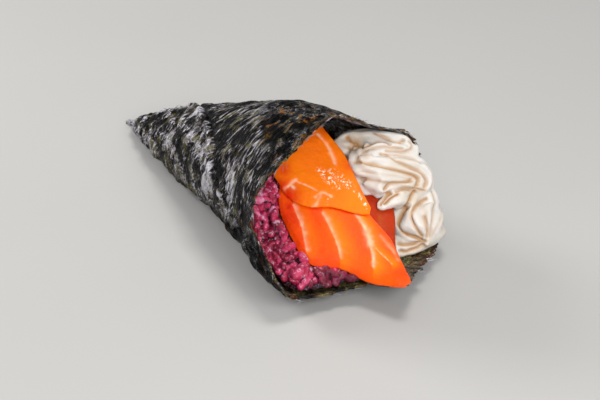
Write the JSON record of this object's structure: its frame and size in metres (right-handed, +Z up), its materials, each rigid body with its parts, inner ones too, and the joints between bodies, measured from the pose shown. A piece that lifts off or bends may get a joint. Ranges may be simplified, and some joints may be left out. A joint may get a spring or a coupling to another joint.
{
  "type": "temaki hand roll",
  "caption": "Cone of rolled nori lying on its side, filled with purple rice, raw salmon slices and a piped rope of cream cheese",
  "frame": {"origin": "on the table under the middle of the roll's bounding box", "axes": "+X runs from the closed tip of the cone to its open mouth, +Z is up, and -Y is the side on which the free edge of the rolled sheet shows"},
  "size_m": [0.154, 0.0666, 0.0548],
  "materials": {
    "nori": "dried seaweed, near black with green and brown in it, silky sheen",
    "salmon": "wet, raw, with pale lines of fat",
    "cream": "smooth, satin",
    "rice": "moist, purple"
  },
  "bodies": {
    "root": {"nori_sheet": "nori", "salmon_slice_top": "salmon", "salmon_slice_front": "salmon", "salmon_slice_under": "salmon", "cream_cheese": "cream", "rice": "rice"}
  },
  "joints": []
}
